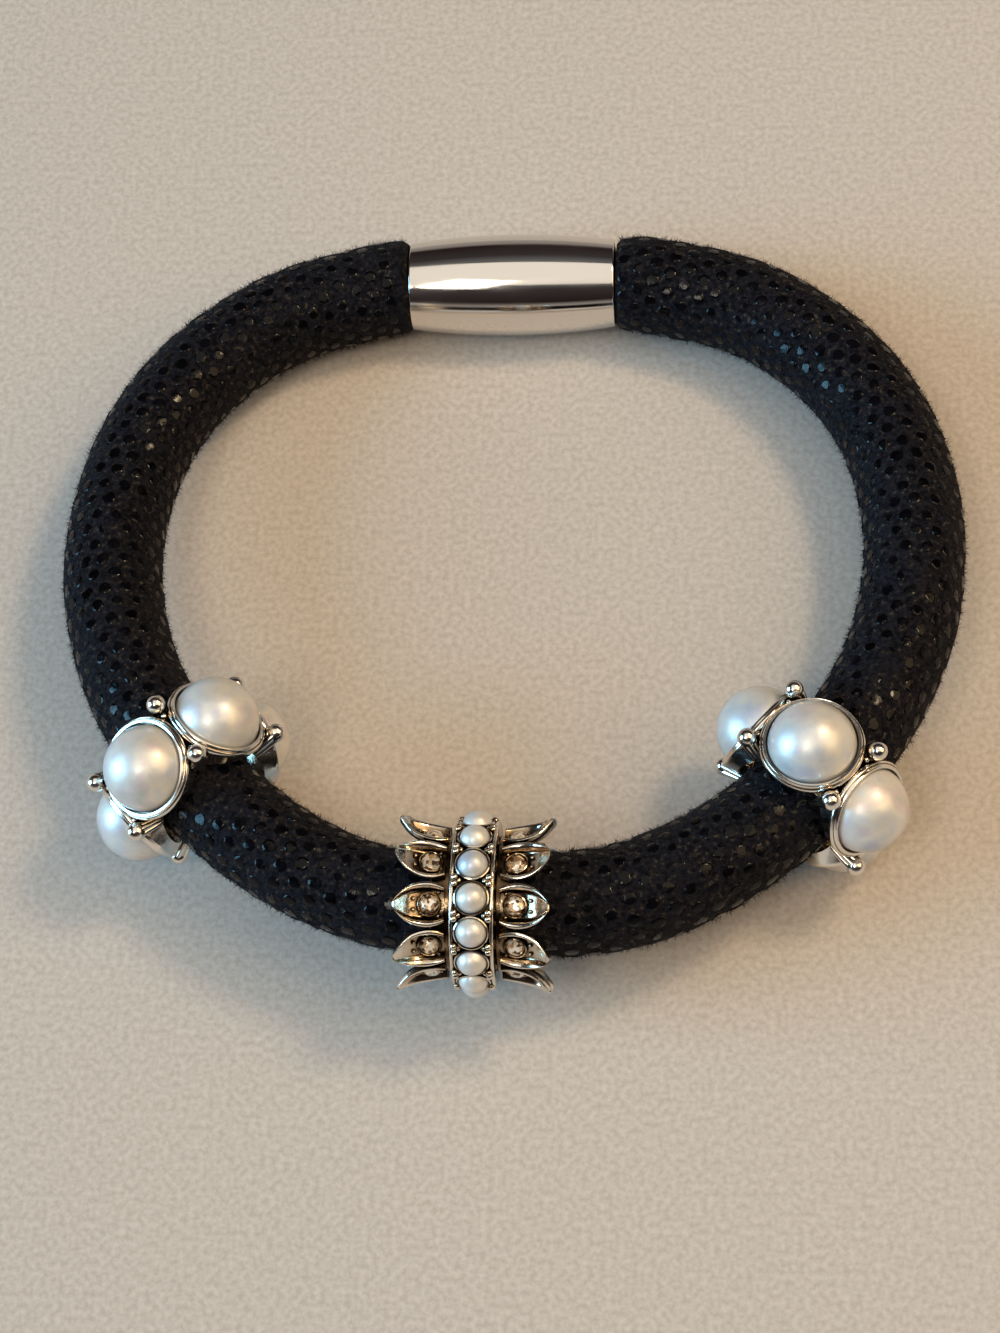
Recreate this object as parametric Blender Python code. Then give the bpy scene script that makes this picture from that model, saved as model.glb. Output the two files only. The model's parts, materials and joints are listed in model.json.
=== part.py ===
"""Leather bead bracelet, closed and lying on a table. Metres, +Z up.

A round leather cord makes the loop. It runs through three metal slide beads: two with five
domed pearls each, and between them one with a ring of small pearls and a crown of ten petals
on either side, each petal with a crystal. Both ends of the cord sit in a magnetic barrel clasp.

The clasp is at the back (+Y), the crown bead at the front. The loop leans up towards the
front, because it rests on the clasp and on the pearls of the two side beads.
Distances along the cord run from the clasp's right mouth, round the front, to its left mouth.
A bead's own frame has X along the cord, Y out of the loop and Z up.
"""

import math

import bmesh
import bpy
import numpy as np
from mathutils import Matrix, Vector

MM = 0.001

# Clearances
CORD_CLEARANCE = 0.30 * MM
STONE_CLEARANCE = 0.20 * MM
SEAT_CLEARANCE = 0.25 * MM

# Loop and leather cord
LOOP_LENGTH = 185.0 * MM
LOOP_DEPTH_TO_WIDTH = 0.886
LEATHER_RADIUS = 3.75 * MM
LEATHER_SIDES = 16
LEATHER_RING_SPACING = 3.3 * MM
ROUTE_SAMPLES_PER_SPAN = 40

# Half of the loop seen from above, from beside the clasp to beside the front centre.
# across is a share of the loop's half width, along a share of its half depth towards the clasp.
LOOP_OUTLINE = (
    # across, along
    (0.440, 0.964),
    (0.546, 0.928),
    (0.704, 0.826),
    (0.839, 0.678),
    (0.941, 0.481),
    (0.993, 0.259),
    (1.000, 0.030),
    (0.931, -0.296),
    (0.753, -0.619),
    (0.477, -0.883),
    (0.276, -0.976),
)

# The leather's girth along the cord, as a share of its radius
LEATHER_GIRTH = (
    # share of the cord's length from the right mouth, share of the radius
    (0.00, 1.02),
    (0.25, 1.02),
    (0.36, 1.00),
    (0.43, 1.02),
    (0.50, 1.00),
    (0.57, 0.96),
    (0.64, 1.00),
    (1.00, 1.00),
)

# Barrel clasp
CLASP_LENGTH = 16.4 * MM
CLASP_OFFSET = -0.52 * MM
CLASP_MOUTH_RADIUS = 3.46 * MM
CLASP_MIDDLE_RADIUS = 4.03 * MM
CLASP_SOCKET_RADIUS = 2.85 * MM
CLASP_EDGE = 0.15 * MM
CLASP_SIDES = 28
CLASP_ARC_STEPS = 4
RIGHT_SOCKET_DEPTH = 9.2 * MM
LEFT_SOCKET_DEPTH = 5.7 * MM
RIGHT_SPIGOT_LENGTH = 3.5 * MM
RIGHT_PINCH = 0.91
LEFT_PINCH = 0.98
PINCH_LENGTH = 2.4 * MM

# Pearl beads
PEARL_BEAD_PEARLS = 5
PEARL_RADIUS = 3.20 * MM
PEARL_SIDES = 16
PEARL_RINGS = 4
CUP_FLOOR_WALL = 0.80 * MM
CUP_RIM_HEIGHT = 0.70 * MM
CUP_WALL = 0.35 * MM
CUP_GAP = 0.30 * MM
CUP_SIDES = 16
CORE_WALL = 1.00 * MM
CORE_LENGTH = 5.2 * MM
CORE_CHAMFER = 0.25 * MM
BALL_RADIUS = 0.70 * MM
BALL_SPACING = 5.15 * MM
BALL_LIFT = 1.30 * MM
BALL_SIDES = 10
BALL_RINGS = 5
POST_TOP_RADIUS = 0.50 * MM
POST_FOOT_RADIUS = 0.40 * MM
POST_SIDES = 6

# Crown bead
CROWN_PEARLS = 15
CROWN_PEARL_RADIUS = 1.10 * MM
CROWN_PEARL_SIDES = 12
CROWN_PEARL_RINGS = 3
CROWN_PEARL_GAP = 0.12 * MM
CROWN_HUB_WALL = 0.72 * MM
CROWN_HUB_LENGTH = 6.0 * MM
HUB_SIDES = 28
CHANNEL_LIFT = 0.55 * MM
RAIL_HEIGHT = 0.45 * MM
RAIL_WIDTH = 0.26 * MM
PRONG_RADIUS = 0.27 * MM
PETALS = 10
PETAL_START = 1.95 * MM
PETAL_LENGTH = 3.55 * MM
PETAL_HALF_WIDTH = 1.52 * MM
PETAL_GAP = 0.30 * MM
PETAL_RIM_LIFT = 0.40 * MM
PETAL_FLARE = 1.15 * MM
PETAL_DISH = 0.34 * MM
PETAL_THICKNESS = 0.78 * MM
RIM_INNER_EDGE = 0.80
DISH_FLOOR_EDGE = 0.68
UNDERSIDE_EDGE = 0.88
CRYSTAL_RADIUS = 0.70 * MM
CRYSTAL_GIRDLE = 0.14 * MM
CRYSTAL_CROWN = 0.28 * MM
CRYSTAL_TABLE = 0.56
CRYSTAL_SIDES = 8
CRYSTAL_SINK = 0.10 * MM
CRYSTAL_ALONG = 0.29

# One petal from its root to its tip, each column a share of the size it names
PETAL_SECTIONS = (
    # along the length, half width, flare, dish, thickness
    (0.00, 0.82, 0.00, 1.0, 1.00),
    (0.30, 1.00, 0.22, 1.0, 1.00),
    (0.60, 0.90, 0.45, 1.0, 0.85),
    (0.85, 0.48, 0.75, 0.7, 0.70),
    (1.00, 0.05, 1.00, 0.0, 0.50),
)

# Where each bead sits on the cord, as a share of its length, and its turn about the cord
RIGHT_BEAD_AT = 0.3505
CROWN_AT = 0.5113
LEFT_BEAD_AT = 0.6595
RIGHT_BEAD_TURN = math.radians(-5)
LEFT_BEAD_TURN = math.radians(32)
PETAL_TURN = math.radians(20)
CROWN_PEARL_TURN = math.radians(15)

MATERIALS = {
    # name: colour, roughness, metallic
    "leather": ((0.012, 0.011, 0.014), 0.55, 0.0),
    "steel": ((0.78, 0.76, 0.73), 0.12, 1.0),
    "silver": ((0.62, 0.58, 0.54), 0.25, 1.0),
    "pearl": ((0.86, 0.83, 0.81), 0.22, 0.0),
}


# Route of the cord


def outline_points(half_width):
    """The loop's plan points from the clasp's right mouth round to its left mouth."""
    half_depth = half_width * LOOP_DEPTH_TO_WIDTH
    side = [(across * half_width, along * half_depth) for across, along in LOOP_OUTLINE]
    mirrored = [(-x, y) for x, y in reversed(side)]
    right_mouth = (CLASP_OFFSET + CLASP_LENGTH / 2, half_depth)
    left_mouth = (CLASP_OFFSET - CLASP_LENGTH / 2, half_depth)
    return np.array([right_mouth, *side, (0.0, -half_depth), *mirrored, left_mouth])


def smooth_curve(points):
    """Samples the cubic curve through the points that leaves the first and reaches the last along +X."""
    chords = np.linalg.norm(np.diff(points, axis=0), axis=1)
    count = len(points)
    matrix = np.eye(count)
    wanted = np.zeros((count, 2))
    wanted[0] = (1.0, 0.0)
    wanted[-1] = (1.0, 0.0)
    for i in range(1, count - 1):
        before, after = chords[i - 1], chords[i]
        matrix[i, i - 1 : i + 2] = (after, 2 * (before + after), before)
        wanted[i] = 3 * (
            after * (points[i] - points[i - 1]) / before
            + before * (points[i + 1] - points[i]) / after
        )
    slopes = np.linalg.solve(matrix, wanted)
    steps = np.linspace(0, 1, ROUTE_SAMPLES_PER_SPAN, endpoint=False)[:, None]
    spans = []
    for i, chord in enumerate(chords):
        spans.append(
            (2 * steps**3 - 3 * steps**2 + 1) * points[i]
            + (steps**3 - 2 * steps**2 + steps) * chord * slopes[i]
            + (3 * steps**2 - 2 * steps**3) * points[i + 1]
            + (steps**3 - steps**2) * chord * slopes[i + 1]
        )
    return np.vstack([*spans, points[-1:]])


class Route:
    """The cord's centreline in space, read by the distance from the clasp's right mouth."""

    def __init__(self, half_width, clasp_height, right_height, left_height):
        plan = smooth_curve(outline_points(half_width))
        plan_lengths = np.r_[0, np.cumsum(np.linalg.norm(np.diff(plan, axis=0), axis=1))]
        side = [
            np.interp(RIGHT_BEAD_AT * plan_lengths[-1], plan_lengths, plan[:, i]) for i in range(2)
        ]
        behind = plan[0, 1] - plan[:, 1]
        lean = behind / (plan[0, 1] - side[1])
        middle_rise = (right_height + left_height) / 2 - clasp_height
        roll_rise = (right_height - left_height) / 2 * plan[:, 0] / side[0]
        height = clasp_height + lean * (middle_rise + roll_rise)
        self.points = np.column_stack([plan, height])
        self.distances = np.r_[0, np.cumsum(np.linalg.norm(np.diff(self.points, axis=0), axis=1))]
        self.length = self.distances[-1]
        self.clasp_centre = Vector((CLASP_OFFSET, plan[0, 1], clasp_height))

    def point(self, distance):
        """A point of the centreline; past a mouth it runs straight into the clasp."""
        within = min(max(distance, 0.0), self.length)
        on_curve = Vector([np.interp(within, self.distances, self.points[:, i]) for i in range(3)])
        return on_curve + Vector((distance - within, 0.0, 0.0))

    def frame(self, distance, reach):
        """Matrix of a stiff bead that reaches this far both ways along the cord."""
        before = self.point(distance - reach)
        after = self.point(distance + reach)
        centre = (before + after + 2 * self.point(distance)) / 4
        return frame_along(centre, after - before)

    def bow(self, distance, reach):
        """How far the curved cord strays from a stiff bead's straight axis."""
        to_bead = self.frame(distance, reach).inverted()
        stray = 0.0
        for share in np.linspace(-1, 1, 9):
            local = to_bead @ self.point(distance + share * reach)
            stray = max(stray, math.hypot(local.y, local.z))
        return stray


def frame_along(centre, direction):
    """Matrix at the centre with X along the direction and Z as near to straight up as it can be."""
    x_axis = direction.normalized()
    y_axis = Vector((0, 0, 1)).cross(x_axis).normalized()
    z_axis = x_axis.cross(y_axis)
    matrix = Matrix((x_axis, y_axis, z_axis)).transposed().to_4x4()
    matrix.translation = centre
    return matrix


def around(angle):
    """Turn about the cord that carries a bead's Z axis towards its Y axis by the angle."""
    return Matrix.Rotation(-angle, 4, "X")


# Mesh building


def new_object(name, mesh, material):
    obj = bpy.data.objects.new(name, mesh)
    bpy.context.scene.collection.objects.link(obj)
    if material and not mesh.materials:
        mesh.materials.append(bpy.data.materials[material])
    return obj


def finish_mesh(bm, name, smooth_angle=40):
    """Makes a mesh from the bmesh, with its faces pointing out and its round faces smooth."""
    bmesh.ops.recalc_face_normals(bm, faces=bm.faces)
    mesh = bpy.data.meshes.new(name)
    bm.to_mesh(mesh)
    bm.free()
    mesh.shade_smooth()
    mesh.set_sharp_from_angle(angle=math.radians(smooth_angle))
    return mesh


def add_ring(bm, points):
    return [bm.verts.new(point) for point in points]


def bridge(bm, first, second):
    """Quads, or a fan where one ring is a single point, between two closed rings."""
    count = max(len(first), len(second))
    for i in range(count):
        j = (i + 1) % count
        if len(first) == 1:
            bm.faces.new((first[0], second[i], second[j]))
        elif len(second) == 1:
            bm.faces.new((first[i], second[0], first[j]))
        else:
            bm.faces.new((first[i], second[i], second[j], first[j]))


def circle(x, radius, sides):
    """Points of a ring about the X axis, with a flat between two points facing straight down."""
    if radius == 0:
        return [(x, 0, 0)]
    half = math.pi / sides
    angles = [half + 2 * half * i for i in range(sides)]
    return [(x, radius * math.sin(a), radius * math.cos(a)) for a in angles]


def turned(name, profile, sides, closed=False):
    """A solid turned about X from (distance along X, radius) points, which end on X or join up."""
    bm = bmesh.new()
    rings = [add_ring(bm, circle(x, radius, sides)) for x, radius in profile]
    for first, second in zip(rings, rings[1:]):
        bridge(bm, first, second)
    if closed:
        bridge(bm, rings[-1], rings[0])
    return finish_mesh(bm, name)


def dome_profile(radius, height, rings):
    """(height, radius) points of a flat-backed dome, from its top down to the middle of its back."""
    turns = [math.pi / 2 * i / rings for i in range(rings + 1)]
    outside = [(height * math.cos(turn), radius * math.sin(turn)) for turn in turns]
    return [*outside, (0.0, 0.0)]


def stand_up(lift):
    """Turns a solid made about X so that it stands on Z at this distance out from the axis."""
    return Matrix.Translation((0, 0, lift)) @ Matrix.Rotation(-math.pi / 2, 4, "Y")


def joined(base, others, operation):
    """The base's mesh with the other objects joined to it or cut from it; the others are removed."""
    group = bpy.data.collections.new(operation)
    for other in others:
        group.objects.link(other)
    modifier = base.modifiers.new(operation, "BOOLEAN")
    modifier.operation = operation
    modifier.operand_type = "COLLECTION"
    modifier.collection = group
    modifier.solver = "EXACT"
    bpy.context.view_layer.update()
    evaluated = base.evaluated_get(bpy.context.evaluated_depsgraph_get())
    base.data = bpy.data.meshes.new_from_object(evaluated)
    base.modifiers.clear()
    for other in others:
        bpy.data.objects.remove(other)
    bpy.data.collections.remove(group)


# Leather and clasp


def pinch(distance_in, mouth_share):
    """Share of the girth near a mouth of the clasp, where the leather is drawn in."""
    share = min(max(distance_in / PINCH_LENGTH, 0.0), 1.0)
    return mouth_share + (1 - mouth_share) * math.sin(share * math.pi / 2)


def leather_radius(route, distance):
    shares, girths = zip(*LEATHER_GIRTH)
    girth = np.interp(distance / route.length, shares, girths)
    drawn_in = pinch(distance, RIGHT_PINCH) * pinch(route.length - distance, LEFT_PINCH)
    return LEATHER_RADIUS * girth * drawn_in


def leather_cord(route):
    """The cord from its spigot in the clasp's right socket to the one in its left socket."""
    spigot_radius = CLASP_SOCKET_RADIUS - SEAT_CLEARANCE
    left_spigot_length = LEFT_SOCKET_DEPTH - SEAT_CLEARANCE
    first = SEAT_CLEARANCE
    last = route.length - SEAT_CLEARANCE
    pinched = [first + PINCH_LENGTH * share for share in (0.0, 0.3, 0.65)]
    even_count = round((last - first - 2 * PINCH_LENGTH) / LEATHER_RING_SPACING)
    even = np.linspace(first + PINCH_LENGTH, last - PINCH_LENGTH, even_count + 1)
    body = [*pinched, *even, *(route.length - distance for distance in reversed(pinched))]
    stations = [(-RIGHT_SPIGOT_LENGTH, spigot_radius), (first, spigot_radius)]
    stations += [(distance, leather_radius(route, distance)) for distance in body]
    stations += [(last, spigot_radius), (route.length + left_spigot_length, spigot_radius)]
    bm = bmesh.new()
    rings = []
    for distance, radius in stations:
        frame = route.frame(distance, LEATHER_RING_SPACING / 2)
        rings.append(add_ring(bm, [frame @ Vector(p) for p in circle(0, radius, LEATHER_SIDES)]))
    for one, other in zip(rings, rings[1:]):
        bridge(bm, one, other)
    bm.faces.new(rings[0])
    bm.faces.new(rings[-1])
    return new_object("leather_cord", finish_mesh(bm, "leather_cord"), "leather")


def barrel_radius(x):
    """Outer radius of the clasp at this distance from its middle, along one shallow arc."""
    half = CLASP_LENGTH / 2
    return CLASP_MIDDLE_RADIUS - (CLASP_MIDDLE_RADIUS - CLASP_MOUTH_RADIUS) * (x / half) ** 2


def clasp_barrel(parent):
    """The outer tube, with a blind socket at either mouth and a magnet wall between them."""
    half = CLASP_LENGTH / 2
    right_floor = half - RIGHT_SOCKET_DEPTH
    left_floor = LEFT_SOCKET_DEPTH - half
    edge = half - CLASP_EDGE
    arc = np.linspace(-edge, edge, 2 * CLASP_ARC_STEPS)
    profile = [(left_floor, 0.0), (left_floor, CLASP_SOCKET_RADIUS), (-half, CLASP_SOCKET_RADIUS)]
    profile += [(-half, CLASP_MOUTH_RADIUS - CLASP_EDGE)]
    profile += [(x, barrel_radius(x)) for x in arc]
    profile += [(half, CLASP_MOUTH_RADIUS - CLASP_EDGE)]
    profile += [(half, CLASP_SOCKET_RADIUS), (right_floor, CLASP_SOCKET_RADIUS), (right_floor, 0.0)]
    barrel = new_object("clasp_barrel", turned("clasp_barrel", profile, CLASP_SIDES), "steel")
    barrel.parent = parent


def clasp_plug(parent):
    """The hidden half of the clasp, between the cord's right end and the magnet wall."""
    inner_end = CLASP_LENGTH / 2 - RIGHT_SOCKET_DEPTH + SEAT_CLEARANCE
    outer_end = CLASP_LENGTH / 2 - RIGHT_SPIGOT_LENGTH - SEAT_CLEARANCE
    radius = CLASP_SOCKET_RADIUS - SEAT_CLEARANCE
    profile = [(inner_end, 0.0), (inner_end, radius), (outer_end, radius), (outer_end, 0.0)]
    plug = new_object("clasp_plug", turned("clasp_plug", profile, CLASP_SIDES), "steel")
    plug.parent = parent


# Pearl beads


class PearlBead:
    """Radii of a pearl bead, outwards from the cord that it slides on."""

    reach = PEARL_RADIUS + STONE_CLEARANCE + CUP_WALL

    def __init__(self, bow):
        self.bore = LEATHER_RADIUS + CORD_CLEARANCE + bow
        beside = (PEARL_RADIUS + STONE_CLEARANCE + CUP_GAP / 2) / math.tan(math.pi / PEARL_BEAD_PEARLS)
        self.floor = max(self.bore + CUP_FLOOR_WALL, beside)
        self.pearl_back = self.floor + STONE_CLEARANCE
        self.rim = self.floor + CUP_RIM_HEIGHT
        self.core = self.bore + CORE_WALL
        self.ball = self.core + BALL_LIFT

    def height_on_pearls(self, turn):
        """Axis height over a table that the lowest pearl of a bead with this turn touches."""
        pitch = 2 * math.pi / PEARL_BEAD_PEARLS
        from_down = abs((math.pi - turn + pitch / 2) % pitch - pitch / 2)
        return self.pearl_back * math.cos(from_down) + PEARL_RADIUS


def cup(size, angle):
    """The round pan that holds one pearl, still solid."""
    profile = [(0.0, 0.0), (0.0, PearlBead.reach), (size.rim, PearlBead.reach), (size.rim, 0.0)]
    pan = new_object("cup", turned("cup", profile, CUP_SIDES), None)
    pan.matrix_world = around(angle) @ stand_up(0)
    return pan


def cup_recess(size, angle):
    """Cutter for the seat of one pearl."""
    radius = PEARL_RADIUS + STONE_CLEARANCE
    top = size.rim + CUP_WALL
    profile = [(size.floor, 0.0), (size.floor, radius), (top, radius), (top, 0.0)]
    cutter = new_object("recess", turned("recess", profile, CUP_SIDES), None)
    cutter.matrix_world = around(angle) @ stand_up(0)
    return cutter


def post_with_ball(size, angle, x):
    """A tapered post from the core out to a ball, between two cups."""
    foot = size.bore + CORE_WALL / 3
    profile = [(foot, 0.0), (foot, POST_FOOT_RADIUS), (size.ball, POST_TOP_RADIUS), (size.ball, 0.0)]
    place = Matrix.Translation((x, 0, 0)) @ around(angle) @ stand_up(0)
    post = new_object("post", turned("post", profile, POST_SIDES), None)
    post.matrix_world = place
    turns = [math.pi * i / BALL_RINGS for i in range(1, BALL_RINGS)]
    sphere = [(size.ball - BALL_RADIUS * math.cos(t), BALL_RADIUS * math.sin(t)) for t in turns]
    sphere = [(size.ball - BALL_RADIUS, 0.0), *sphere, (size.ball + BALL_RADIUS, 0.0)]
    ball = new_object("ball", turned("ball", sphere, BALL_SIDES), None)
    ball.matrix_world = place
    return [post, ball]


def bore_cutter(radius, length):
    profile = [(-length, 0.0), (-length, radius), (length, radius), (length, 0.0)]
    return new_object("bore", turned("bore", profile, HUB_SIDES), None)


def pearl_bead(name, route, at, turn):
    """One metal setting with its five pearls, placed on the cord."""
    distance = at * route.length
    size = PearlBead(route.bow(distance, PearlBead.reach))
    pitch = 2 * math.pi / PEARL_BEAD_PEARLS
    pearl_angles = [turn + pitch * i for i in range(PEARL_BEAD_PEARLS)]
    half = CORE_LENGTH / 2
    core_profile = [
        (-half, size.bore / 2),
        (-half, size.core - CORE_CHAMFER),
        (-half + CORE_CHAMFER, size.core),
        (half - CORE_CHAMFER, size.core),
        (half, size.core - CORE_CHAMFER),
        (half, size.bore / 2),
    ]
    core = turned(name + "_setting", core_profile, HUB_SIDES, closed=True)
    setting = new_object(name + "_setting", core, "silver")
    pieces = [cup(size, angle) for angle in pearl_angles]
    for angle in pearl_angles:
        for x in (-BALL_SPACING / 2, BALL_SPACING / 2):
            pieces += post_with_ball(size, angle + pitch / 2, x)
    joined(setting, pieces, "UNION")
    cutters = [cup_recess(size, angle) for angle in pearl_angles]
    cutters.append(bore_cutter(size.bore, 2 * PearlBead.reach))
    joined(setting, cutters, "DIFFERENCE")
    holder = bpy.data.objects.new(name, None)
    bpy.context.scene.collection.objects.link(holder)
    holder.matrix_world = route.frame(distance, PearlBead.reach)
    setting.parent = holder
    profile = dome_profile(PEARL_RADIUS, PEARL_RADIUS, PEARL_RINGS)
    pearl_mesh = turned("pearl", profile, PEARL_SIDES)
    for i, angle in enumerate(pearl_angles):
        pearl = new_object(f"{name}_pearl_{i + 1}", pearl_mesh, "pearl")
        pearl.parent = holder
        pearl.matrix_local = around(angle) @ stand_up(size.pearl_back)
    return holder


# Crown bead


class CrownBead:
    """Radii of the crown bead, outwards from the cord that it slides on."""

    reach = CROWN_HUB_LENGTH / 2

    def __init__(self, bow):
        self.bore = LEATHER_RADIUS + CORD_CLEARANCE + bow
        self.hub = self.bore + CROWN_HUB_WALL
        beside = (CROWN_PEARL_RADIUS + CROWN_PEARL_GAP / 2) / math.tan(math.pi / CROWN_PEARLS)
        self.channel = max(self.hub + CHANNEL_LIFT, beside)
        self.rail = self.channel + RAIL_HEIGHT
        self.pearl_back = self.channel + STONE_CLEARANCE
        self.channel_half = CROWN_PEARL_RADIUS + STONE_CLEARANCE
        self.band_half = self.channel_half + RAIL_WIDTH
        self.petal_rim = self.hub + PETAL_RIM_LIFT
        room = self.petal_rim * math.tan(math.pi / PETALS) - PETAL_GAP / 2
        self.petal_half_width = min(PETAL_HALF_WIDTH, room)


def crown_hub(size):
    """The sleeve on the cord, with the channel for the small pearls round its middle."""
    half = CROWN_HUB_LENGTH / 2
    right_side = [
        (size.channel_half, size.channel),
        (size.channel_half, size.rail),
        (size.band_half, size.rail),
        (size.band_half, size.hub),
        (half, size.hub),
        (half, size.bore),
    ]
    left_side = [(-x, radius) for x, radius in reversed(right_side)]
    return turned("crown_bead_body", [*left_side, *right_side], HUB_SIDES, closed=True)


def petal_section(size, section):
    """Eight points across a petal: its two rims, the dish between them and its underside."""
    along, width, flare, dish, thickness = section
    x = PETAL_START + along * PETAL_LENGTH
    half = width * size.petal_half_width
    rim = size.petal_rim + flare * PETAL_FLARE
    floor = rim - dish * PETAL_DISH
    under = rim - thickness * PETAL_THICKNESS
    left = [
        (x, -half * UNDERSIDE_EDGE, under),
        (x, -half, rim),
        (x, -half * RIM_INNER_EDGE, rim),
        (x, -half * DISH_FLOOR_EDGE, floor),
    ]
    return [*left, *((px, -py, pz) for px, py, pz in reversed(left))]


def petal(size, angle, side):
    """One petal on the +X side of the band, or mirrored to the -X side."""
    bm = bmesh.new()
    rings = [add_ring(bm, petal_section(size, section)) for section in PETAL_SECTIONS]
    for one, other in zip(rings, rings[1:]):
        bridge(bm, one, other)
    bm.faces.new(rings[0])
    bm.faces.new(rings[-1])
    obj = new_object("petal", finish_mesh(bm, "petal"), None)
    half_turn = Matrix.Rotation(math.pi, 4, "Z") if side < 0 else Matrix.Identity(4)
    obj.matrix_world = around(angle) @ half_turn
    return obj


def prong(size, angle, x):
    bm = bmesh.new()
    bmesh.ops.create_icosphere(bm, subdivisions=1, radius=PRONG_RADIUS)
    obj = new_object("prong", finish_mesh(bm, "prong"), None)
    obj.matrix_world = around(angle) @ Matrix.Translation((x, 0, size.rail))
    return obj


def crystal_mesh():
    """A flat-backed cut stone: a girdle, eight crown facets and a table."""
    bm = bmesh.new()
    girdle = CRYSTAL_SINK + CRYSTAL_GIRDLE
    top = girdle + CRYSTAL_CROWN
    table = CRYSTAL_RADIUS * CRYSTAL_TABLE
    levels = [(0.0, CRYSTAL_RADIUS), (girdle, CRYSTAL_RADIUS), (top, table)]
    rings = [add_ring(bm, circle(x, radius, CRYSTAL_SIDES)) for x, radius in levels]
    for one, other in zip(rings, rings[1:]):
        bridge(bm, one, other)
    bm.faces.new(rings[0])
    bm.faces.new(rings[-1])
    return finish_mesh(bm, "crystal", smooth_angle=5)


def crystal_place(size, angle, side):
    """Where a petal's crystal sits: on the dish's sloping floor, square to it."""
    root, middle = PETAL_SECTIONS[0], PETAL_SECTIONS[2]
    slope = math.atan2((middle[2] - root[2]) * PETAL_FLARE, (middle[0] - root[0]) * PETAL_LENGTH)
    along = CRYSTAL_ALONG * PETAL_LENGTH
    floor = size.petal_rim - PETAL_DISH + along * math.tan(slope)
    half_turn = Matrix.Rotation(math.pi, 4, "Z") if side < 0 else Matrix.Identity(4)
    on_floor = Matrix.Translation((PETAL_START + along, 0, floor)) @ Matrix.Rotation(-slope, 4, "Y")
    return around(angle) @ half_turn @ on_floor @ stand_up(-CRYSTAL_SINK)


def crown_bead(route):
    """The crown bead on the cord: its body with the crystals fused to it, and its small pearls."""
    distance = CROWN_AT * route.length
    size = CrownBead(route.bow(distance, CrownBead.reach))
    body = new_object("crown_bead_body", crown_hub(size), "silver")
    petal_angles = [PETAL_TURN + 2 * math.pi * i / PETALS for i in range(PETALS)]
    pearl_pitch = 2 * math.pi / CROWN_PEARLS
    pearl_angles = [CROWN_PEARL_TURN + pearl_pitch * i for i in range(CROWN_PEARLS)]
    rail_middle = (size.channel_half + size.band_half) / 2
    pieces = [petal(size, angle, side) for angle in petal_angles for side in (1, -1)]
    pieces += [
        prong(size, angle + pearl_pitch / 2, side * rail_middle)
        for angle in pearl_angles
        for side in (1, -1)
    ]
    stone = crystal_mesh()
    for angle in petal_angles:
        for side in (1, -1):
            crystal = new_object("crystal", stone, None)
            crystal.matrix_world = crystal_place(size, angle, side)
            pieces.append(crystal)
    joined(body, pieces, "UNION")
    holder = bpy.data.objects.new("crown_bead", None)
    bpy.context.scene.collection.objects.link(holder)
    holder.matrix_world = route.frame(distance, CrownBead.reach)
    body.parent = holder
    profile = dome_profile(CROWN_PEARL_RADIUS, CROWN_PEARL_RADIUS, CROWN_PEARL_RINGS)
    pearl_mesh = turned("crown_pearl", profile, CROWN_PEARL_SIDES)
    for i, angle in enumerate(pearl_angles):
        pearl = new_object(f"crown_pearl_{i + 1:02d}", pearl_mesh, "pearl")
        pearl.parent = holder
        pearl.matrix_local = around(angle) @ stand_up(size.pearl_back)
    return holder


# Whole bracelet


def make_materials():
    for name, (colour, roughness, metallic) in MATERIALS.items():
        material = bpy.data.materials.new(name)
        material.use_nodes = True
        shader = material.node_tree.nodes["Principled BSDF"]
        shader.inputs["Base Color"].default_value = (*colour, 1.0)
        shader.inputs["Roughness"].default_value = roughness
        shader.inputs["Metallic"].default_value = metallic


def loop_route():
    """The route whose loop, clasp included, has the stated length, resting on clasp and pearls."""
    bead = PearlBead(0.0)
    right_height = bead.height_on_pearls(RIGHT_BEAD_TURN)
    left_height = bead.height_on_pearls(LEFT_BEAD_TURN)
    half_width = LOOP_LENGTH / (2 * math.pi)
    for _ in range(20):
        route = Route(half_width, CLASP_MIDDLE_RADIUS, right_height, left_height)
        half_width *= LOOP_LENGTH / (route.length + CLASP_LENGTH)
    return route


def rest_on_origin(root):
    """Moves the bracelet so that the middle of its underside's box is at the origin."""
    bpy.context.view_layer.update()
    corners = [
        obj.matrix_world @ vertex.co
        for obj in bpy.context.scene.objects
        if obj.type == "MESH"
        for vertex in obj.data.vertices
    ]
    low = [min(corner[i] for corner in corners) for i in range(3)]
    high = [max(corner[i] for corner in corners) for i in range(3)]
    root.location = (-(low[0] + high[0]) / 2, -(low[1] + high[1]) / 2, -low[2])


def main():
    for obj in list(bpy.data.objects):
        bpy.data.objects.remove(obj)
    make_materials()
    route = loop_route()
    root = bpy.data.objects.new("bracelet", None)
    bpy.context.scene.collection.objects.link(root)
    clasp = bpy.data.objects.new("clasp", None)
    bpy.context.scene.collection.objects.link(clasp)
    clasp.location = route.clasp_centre
    clasp_barrel(clasp)
    clasp_plug(clasp)
    right_bead = pearl_bead("right_bead", route, RIGHT_BEAD_AT, RIGHT_BEAD_TURN)
    left_bead = pearl_bead("left_bead", route, LEFT_BEAD_AT, LEFT_BEAD_TURN)
    crown = crown_bead(route)
    for child in (leather_cord(route), clasp, right_bead, left_bead, crown):
        child.parent = root
    rest_on_origin(root)


main()
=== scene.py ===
"""Leather bead bracelet: fine shapes and finishes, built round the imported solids. Metres, +Z up."""

import json
import math

import bmesh
import bpy
import numpy as np
from mathutils import Matrix, Vector

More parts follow.
